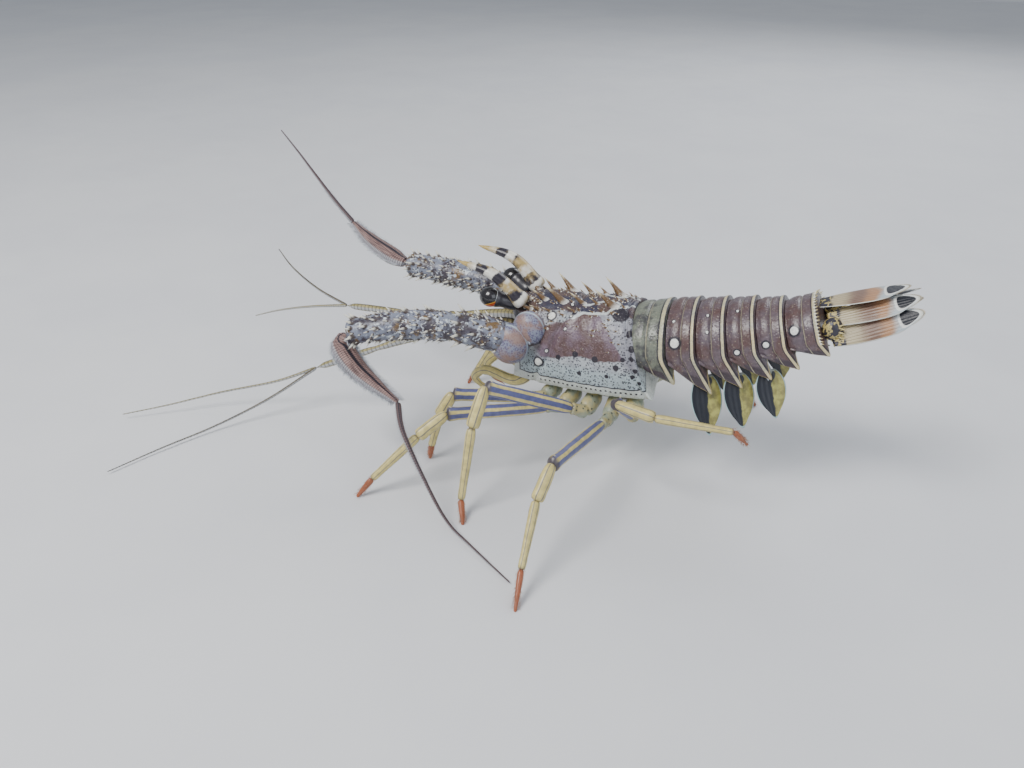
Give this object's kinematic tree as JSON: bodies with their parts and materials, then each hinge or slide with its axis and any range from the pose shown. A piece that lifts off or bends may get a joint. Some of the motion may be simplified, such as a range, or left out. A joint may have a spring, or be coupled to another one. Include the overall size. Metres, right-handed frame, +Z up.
{
  "type": "spiny lobster",
  "caption": "Life-size Caribbean spiny lobster standing on its walking legs, a still model with banded tail, folded fan, curved horns and long spiny antennae.",
  "frame": {"origin": "centre of the bounding box, on the floor under the feet", "axes": "+X towards the tail fan, +Y towards the animal's right side, +Z up; the head points along -X"},
  "size_m": [0.4746, 0.3005, 0.1504],
  "materials": {
    "shell": "satin shell, purple brown with pale marks",
    "underside": "satin shell, pale blue grey",
    "abdomen_shell": "satin shell, banded, with white spots",
    "tail_fan": "satin, orange to pale blue",
    "horn": "satin shell, banded",
    "eye": "glossy black",
    "antenna_stalk": "satin shell, mottled",
    "antenna_whip": "satin shell, dark",
    "antennule": "satin shell, olive",
    "leg": "satin shell, yellow with blue violet stripes",
    "swimmeret": "thin and soft, olive and pale blue"
  },
  "bodies": {
    "root": {"carapace": "shell", "sternum": "underside", "abdomen_1": "shell", "abdomen_2": "abdomen_shell", "abdomen_3": "abdomen_shell", "abdomen_4": "abdomen_shell", "abdomen_5": "abdomen_shell", "abdomen_6": "abdomen_shell", "telson": "tail_fan", "uropod_left": "tail_fan", "horn_left": "horn", "eye_left": "eye", "antenna_left_base": "antenna_stalk", "antenna_left_stalk": "antenna_stalk", "antenna_left_whip_base": "antenna_whip", "antenna_left_whip": "antenna_whip", "feeler_left_stalk": "antennule", "feeler_left_outer": "antennule", "feeler_left_inner": "antennule", "maxilliped_left": "leg", "swimmeret_2_left": "swimmeret", "swimmeret_3_left": "swimmeret", "swimmeret_4_left": "swimmeret", "swimmeret_5_left": "swimmeret", "leg_left_1_upper": "leg", "leg_left_1_lower": "leg", "leg_left_2_upper": "leg", "leg_left_2_lower": "leg", "leg_left_3_upper": "leg", "leg_left_3_lower": "leg", "leg_left_4_upper": "leg", "leg_left_4_lower": "leg", "leg_left_5_upper": "leg", "leg_left_5_lower": "leg", "uropod_right": "tail_fan", "horn_right": "horn", "eye_right": "eye", "antenna_right_base": "antenna_stalk", "antenna_right_stalk": "antenna_stalk", "antenna_right_whip_base": "antenna_whip", "antenna_right_whip": "antenna_whip", "feeler_right_stalk": "antennule", "feeler_right_outer": "antennule", "feeler_right_inner": "antennule", "maxilliped_right": "leg", "swimmeret_2_right": "swimmeret", "swimmeret_3_right": "swimmeret", "swimmeret_4_right": "swimmeret", "swimmeret_5_right": "swimmeret", "leg_right_1_upper": "leg", "leg_right_1_lower": "leg", "leg_right_2_upper": "leg", "leg_right_2_lower": "leg", "leg_right_3_upper": "leg", "leg_right_3_lower": "leg", "leg_right_4_upper": "leg", "leg_right_4_lower": "leg", "leg_right_5_upper": "leg", "leg_right_5_lower": "leg"}
  },
  "joints": []
}
